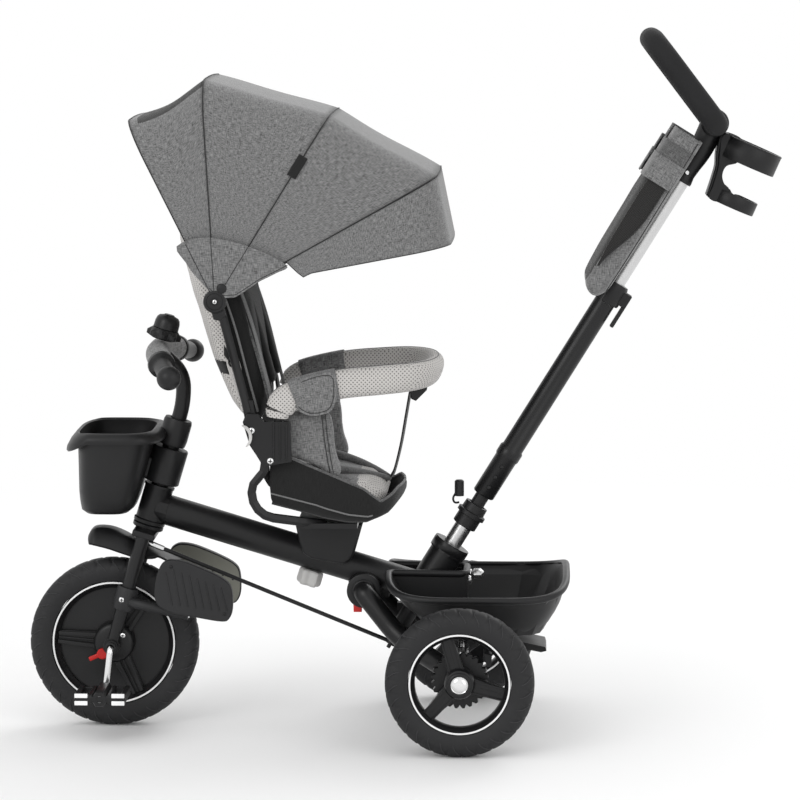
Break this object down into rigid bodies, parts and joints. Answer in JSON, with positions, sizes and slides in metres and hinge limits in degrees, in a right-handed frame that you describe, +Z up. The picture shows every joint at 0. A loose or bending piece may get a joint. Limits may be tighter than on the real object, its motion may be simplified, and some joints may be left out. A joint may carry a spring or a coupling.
{
  "type": "children's tricycle",
  "caption": "Children's tricycle with a swivelling seat, folding canopy, padded bumper bar, baskets and a telescoping parent push bar that steers the front wheel.",
  "frame": {"origin": "on the floor, at the middle of the tricycle's outline", "axes": "+X to the rear, where the push bar is; +Y to the far side; +Z up"},
  "size_m": [1.1099, 0.483, 1.0369],
  "materials": {
    "black_paint": "satin powder coat",
    "black_plastic": "fine grain",
    "tyre_black": "matt",
    "rim_black": "satin",
    "chrome": "bright",
    "aluminium": "satin",
    "grey_fabric": "melange weave",
    "light_mesh": "spacer mesh",
    "grey_foam": "soft foam",
    "light_plastic": "satin",
    "red_plastic": "gloss"
  },
  "bodies": {
    "frame": {"main_frame": "black_paint", "seat_mount": "black_plastic", "rear_basket": "black_plastic"},
    "star_knob": {"star_knob": "light_plastic"},
    "leg_button": {"leg_button": "red_plastic"},
    "rear_legs": {"rear_legs": "black_paint"},
    "leg_brace": {"leg_brace": "black_plastic"},
    "brake": {"brake_bar": "light_plastic"},
    "rear_wheel_left": {"tyre_rear_left": "tyre_black", "rim_rear_left": "rim_black", "cap_rear_left": "chrome"},
    "rear_wheel_right": {"tyre_rear_right": "tyre_black", "rim_rear_right": "rim_black", "cap_rear_right": "chrome"},
    "post": {"steer_post": "aluminium", "outer_tube": "black_paint", "tube_clamp": "black_plastic", "dust_cap": "black_plastic"},
    "flip_lever": {"flip_lever": "black_plastic"},
    "upper_bar": {"inner_tube": "aluminium", "neck": "black_plastic", "cup_holder": "black_plastic", "bag": "grey_fabric"},
    "handle": {"handle_loop": "grey_foam"},
    "steering_rod": {"steering_rod": "black_paint"},
    "fork": {"fork": "black_paint", "fender": "black_plastic", "front_basket": "black_plastic", "stem": "black_paint", "bar_pad": "grey_foam", "grip_left": "black_plastic", "grip_right": "black_plastic", "bell_base": "black_plastic", "footrest_arm_left": "black_plastic", "footrest_arm_right": "black_plastic"},
    "bell": {"bell_cap": "black_plastic"},
    "front_wheel": {"tyre_front": "tyre_black", "rim_front": "rim_black"},
    "clutch_lever": {"clutch_lever": "red_plastic"},
    "crank": {"crank": "chrome"},
    "pedal_left": {"pedal_left": "black_plastic"},
    "pedal_right": {"pedal_right": "black_plastic"},
    "footrest_left": {"footrest_left": "black_plastic"},
    "footrest_right": {"footrest_right": "black_plastic"},
    "seat": {"seat_shell": "black_plastic", "seat_frame": "black_paint", "seat_cushion": "grey_fabric"},
    "recline_lever": {"recline_lever": "light_plastic"},
    "bumper": {"bumper_bar": "light_mesh", "crotch_strap": "grey_fabric"},
    "back": {"back_frame": "black_paint", "back_pad": "light_mesh", "rib_rear": "black_paint"},
    "bow_upright": {"rib_upright": "black_paint", "canopy_rear": "grey_fabric"},
    "bow_middle": {"rib_middle": "black_paint", "canopy_middle": "grey_fabric"},
    "bow_front": {"rib_front": "black_paint", "canopy_front": "grey_fabric", "visor": "grey_fabric"}
  },
  "joints": [
    {"name": "steering", "type": "hinge", "parent": "frame", "child": "fork", "pos_m": [-0.43, 0, 0.126], "axis": [0.2807, 0, 0.9598], "range_deg": [-16, 16]},
    {"name": "post_turn", "type": "hinge", "parent": "frame", "child": "post", "pos_m": [0.058, 0, 0.25], "axis": [0.527, 0, 0.8499], "range_deg": [-16.5, 16.5]},
    {"name": "rod_slide", "type": "slide", "parent": "frame", "child": "steering_rod", "axis": [0.9259, 0, -0.3778], "range_m": [-0.0069, 0.0069]},
    {"name": "front_wheel_spin", "type": "hinge", "parent": "fork", "child": "front_wheel", "pos_m": [-0.43, 0, 0.126], "axis": [0, 1, 0], "continuous": true},
    {"name": "crank_spin", "type": "hinge", "parent": "fork", "child": "crank", "pos_m": [-0.43, 0, 0.126], "axis": [0, 1, 0], "continuous": true},
    {"name": "pedal_left_spin", "type": "hinge", "parent": "crank", "child": "pedal_left", "pos_m": [-0.437, -0.112, 0.066], "axis": [0, 1, 0], "continuous": true},
    {"name": "pedal_right_spin", "type": "hinge", "parent": "crank", "child": "pedal_right", "pos_m": [-0.423, 0.112, 0.186], "axis": [0, 1, 0], "continuous": true},
    {"name": "clutch_turn", "type": "hinge", "parent": "front_wheel", "child": "clutch_lever", "pos_m": [-0.446, -0.028, 0.111], "axis": [0, 1, 0], "range_deg": [0, 60]},
    {"name": "footrest_left_fold", "type": "hinge", "parent": "fork", "child": "footrest_left", "pos_m": [-0.385, -0.063, 0.191], "axis": [0.9784, 0, -0.2067], "range_deg": [0, 90]},
    {"name": "footrest_right_fold", "type": "hinge", "parent": "fork", "child": "footrest_right", "pos_m": [-0.385, 0.063, 0.191], "axis": [0.9784, 0, -0.2067], "range_deg": [-90, 0]},
    {"name": "bell_turn", "type": "hinge", "parent": "fork", "child": "bell", "pos_m": [-0.352, -0.034, 0.582], "axis": [0.2807, 0, 0.9598], "range_deg": [-40, 40], "stiffness_Nm_per_rad": 0.05},
    {"name": "star_knob_turn", "type": "hinge", "parent": "frame", "child": "star_knob", "pos_m": [-0.1284, 0, 0.2567], "axis": [-0.29, 0, -0.957], "continuous": true},
    {"name": "seat_swivel", "type": "hinge", "parent": "frame", "child": "seat", "pos_m": [-0.106, 0, 0.312], "axis": [0, 0, 1], "range_deg": [-180, 180]},
    {"name": "recline", "type": "hinge", "parent": "seat", "child": "back", "pos_m": [-0.214, 0, 0.473], "axis": [0, 1, 0], "range_deg": [-12, 8]},
    {"name": "recline_lever_press", "type": "hinge", "parent": "seat", "child": "recline_lever", "pos_m": [-0.214, -0.152, 0.458], "axis": [0, 1, 0], "range_deg": [0, 15], "stiffness_Nm_per_rad": 0.1},
    {"name": "bumper_lift", "type": "slide", "parent": "seat", "child": "bumper", "axis": [0, 0, 1], "range_m": [0, 0.06]},
    {"name": "bow_upright_fold", "type": "hinge", "parent": "back", "child": "bow_upright", "pos_m": [-0.262, 0, 0.652], "axis": [0, 1, 0], "range_deg": [-17, 0], "deforming": ["canopy_rear"]},
    {"name": "bow_middle_fold", "type": "hinge", "parent": "bow_upright", "child": "bow_middle", "pos_m": [-0.262, 0, 0.652], "axis": [0, 1, 0], "range_deg": [-30.5, 0], "deforming": ["canopy_middle"]},
    {"name": "bow_front_fold", "type": "hinge", "parent": "bow_middle", "child": "bow_front", "pos_m": [-0.262, 0, 0.652], "axis": [0, 1, 0], "range_deg": [-23.5, 0], "deforming": ["canopy_front"]},
    {"name": "telescope", "type": "slide", "parent": "post", "child": "upper_bar", "axis": [0.527, 0, 0.8499], "range_m": [-0.1, 0]},
    {"name": "flip_lever_open", "type": "hinge", "parent": "post", "child": "flip_lever", "pos_m": [0.32902, 0, 0.63967], "axis": [0, 1, 0], "range_deg": [-80, 0]},
    {"name": "handle_tilt", "type": "hinge", "parent": "upper_bar", "child": "handle", "pos_m": [0.456, 0, 0.9], "axis": [0, 1, 0], "range_deg": [-10, 60]},
    {"name": "leg_fold", "type": "hinge", "parent": "frame", "child": "rear_legs", "pos_m": [-0.056, 0, 0.21], "axis": [0, 1, 0], "range_deg": [0, 60]},
    {"name": "brace_fold", "type": "hinge", "parent": "rear_legs", "child": "leg_brace", "pos_m": [0.02, 0.036, 0.133], "axis": [0, 1, 0], "range_deg": [-31, 0]},
    {"name": "leg_button_press", "type": "slide", "parent": "frame", "child": "leg_button", "axis": [0, 0, 1], "range_m": [0, 0.006], "stiffness_N_per_m": 300},
    {"name": "brake_press", "type": "hinge", "parent": "rear_legs", "child": "brake", "pos_m": [0.128, 0, 0.137], "axis": [0, 1, 0], "range_deg": [0, 8], "stiffness_Nm_per_rad": 0.4},
    {"name": "rear_wheel_left_spin", "type": "hinge", "parent": "rear_legs", "child": "rear_wheel_left", "pos_m": [0.089, -0.215, 0.1075], "axis": [0, 1, 0], "continuous": true},
    {"name": "rear_wheel_right_spin", "type": "hinge", "parent": "rear_legs", "child": "rear_wheel_right", "pos_m": [0.089, 0.215, 0.1075], "axis": [0, 1, 0], "continuous": true}
  ],
  "couplings": [
    {"joint": "post_turn", "follows": "steering", "ratio": 1},
    {"joint": "rod_slide", "follows": "steering", "m_per_rad": 0.024},
    {"joint": "crank_spin", "follows": "front_wheel_spin", "ratio": 1},
    {"joint": "bow_middle_fold", "follows": "bow_upright_fold", "ratio": 1.76},
    {"joint": "bow_front_fold", "follows": "bow_upright_fold", "ratio": 1.35},
    {"joint": "brace_fold", "follows": "leg_fold", "ratio": -0.5}
  ]
}
